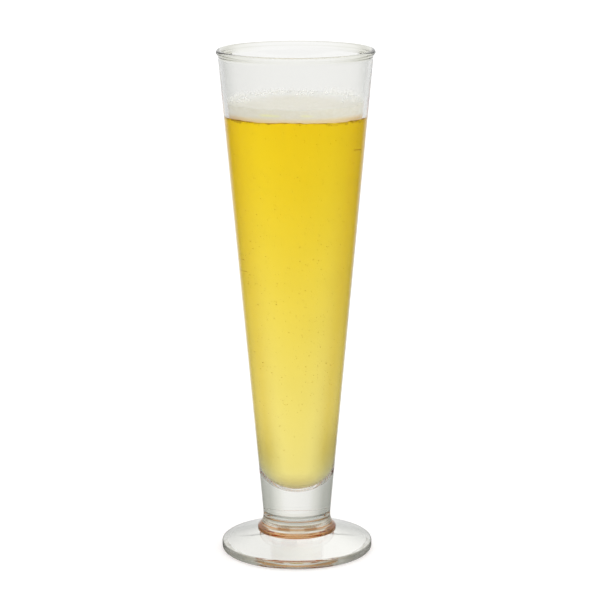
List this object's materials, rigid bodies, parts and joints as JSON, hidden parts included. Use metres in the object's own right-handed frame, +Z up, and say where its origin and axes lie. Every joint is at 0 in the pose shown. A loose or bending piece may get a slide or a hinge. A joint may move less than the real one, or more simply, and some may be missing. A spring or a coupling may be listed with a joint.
{
  "type": "pilsner glass",
  "caption": "Tall footed pilsner glass, tapered bowl with a beaded rim on a round foot, filled with golden lager and a thin foam head.",
  "frame": {"origin": "centre of the foot's standing plane, on the axis of the glass", "axes": "+Z up along the axis of the glass, towards the rim; X and Y are alike, because every piece is round about Z"},
  "size_m": [0.072, 0.072, 0.2343],
  "materials": {
    "clear_glass": "clear, smooth, fire-polished",
    "beer": "clear golden liquid",
    "foam": "fine matt foam"
  },
  "bodies": {
    "root": {"bowl": "clear_glass", "foot": "clear_glass", "beer": "beer", "foam_head": "foam"}
  },
  "joints": []
}
